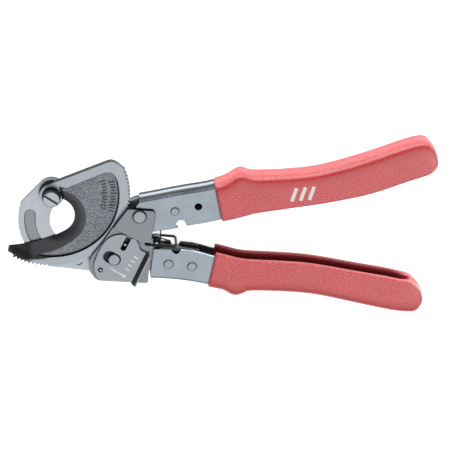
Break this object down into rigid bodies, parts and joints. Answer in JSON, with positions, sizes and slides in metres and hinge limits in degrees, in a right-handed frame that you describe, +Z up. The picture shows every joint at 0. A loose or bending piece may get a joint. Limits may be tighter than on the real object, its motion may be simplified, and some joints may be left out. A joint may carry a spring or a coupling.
{
  "type": "ratchet cable cutter",
  "caption": "One-hand ratchet cable cutter with a toothed crescent blade, hook jaw, riveted steel handles with red dipped grips, release slide and wire latch.",
  "frame": {"origin": "underside of the pivot nut on the blade pivot axis, where the tool lies on its back face", "axes": "+X along the tool from the jaw to the handle ends, +Y from the fixed handle towards the moving handle, +Z up along the blade pivot, out of the front face"},
  "size_m": [0.2556, 0.1137, 0.0184],
  "materials": {
    "forged_steel": "satin ground",
    "blade_steel": "ground rim, bead blasted recess, dark bevel",
    "plated_steel": "bright plated",
    "plate_steel": "matt plated sheet",
    "bolt_steel": "turned",
    "dark_steel": "blackened",
    "red_vinyl": "fine-grained dipped vinyl"
  },
  "bodies": {
    "frame": {"fixed_blade": "forged_steel", "pivot_bolt": "bolt_steel", "pivot_nut": "dark_steel", "pivot_washer": "bolt_steel", "front_cover": "plate_steel", "back_cover": "plate_steel", "handle_pivot_rivet": "plated_steel", "retaining_pawl_rivet": "plated_steel", "cover_rivet": "bolt_steel", "lower_handle_channel": "plated_steel", "lower_grip": "red_vinyl", "lower_grip_lining": "red_vinyl", "tang_spacer": "dark_steel", "tang_rivet_1": "plated_steel", "tang_rivet_2": "plated_steel", "handle_spring_pin": "bolt_steel", "handle_spring": "dark_steel", "retaining_pawl_spring": "dark_steel"},
    "moving_blade": {"moving_blade": "blade_steel"},
    "upper_handle": {"upper_handle_channel": "plated_steel", "upper_grip": "red_vinyl", "upper_grip_lining": "red_vinyl", "upper_handle_rivet": "plated_steel", "upper_handle_spacer": "plated_steel", "drive_pawl_pin": "bolt_steel", "drive_pawl_spring": "dark_steel"},
    "drive_pawl": {"drive_pawl": "dark_steel", "drive_pawl_lift_pin": "bolt_steel"},
    "release_slide": {"release_slide": "plate_steel"},
    "retaining_pawl": {"retaining_pawl": "dark_steel", "retaining_pawl_lift_pin": "bolt_steel"},
    "latch_bail": {"latch_bail": "dark_steel"}
  },
  "joints": [
    {"name": "blade_pivot", "type": "hinge", "parent": "frame", "child": "moving_blade", "pos_m": [0, 0, 0.0081], "axis": [0, 0, 1], "range_deg": [-48, 132]},
    {"name": "handle_pivot", "type": "hinge", "parent": "frame", "child": "upper_handle", "pos_m": [0.052, -0.0117, 0.0081], "axis": [0, 0, 1], "range_deg": [-20, 0], "stiffness_Nm_per_rad": 0.6, "springref_deg": 34.38, "deforming": ["handle_spring", "drive_pawl_spring"]},
    {"name": "drive_pawl_pivot", "type": "hinge", "parent": "upper_handle", "child": "drive_pawl", "pos_m": [0.0565, -0.0216, 0.0081], "axis": [0, 0, 1], "range_deg": [0, 29]},
    {"name": "release_travel", "type": "slide", "parent": "frame", "child": "release_slide", "axis": [0.8492, -0.5281, 0], "range_m": [0, 0.003], "stiffness_N_per_m": 400, "springref_m": -0.002, "deforming": ["retaining_pawl_spring"]},
    {"name": "retaining_pawl_pivot", "type": "hinge", "parent": "frame", "child": "retaining_pawl", "pos_m": [0.0371, -0.0402, 0.0081], "axis": [0, 0, 1], "range_deg": [0, 17.5]},
    {"name": "latch_pivot", "type": "hinge", "parent": "frame", "child": "latch_bail", "pos_m": [0.0563, -0.0305, 0.0081], "axis": [0, 0, 1], "range_deg": [0, 18]}
  ],
  "couplings": [
    {"joint": "drive_pawl_pivot", "follows": "handle_pivot", "ratio": -1.38},
    {"joint": "retaining_pawl_pivot", "follows": "release_travel", "rad_per_m": 97}
  ]
}
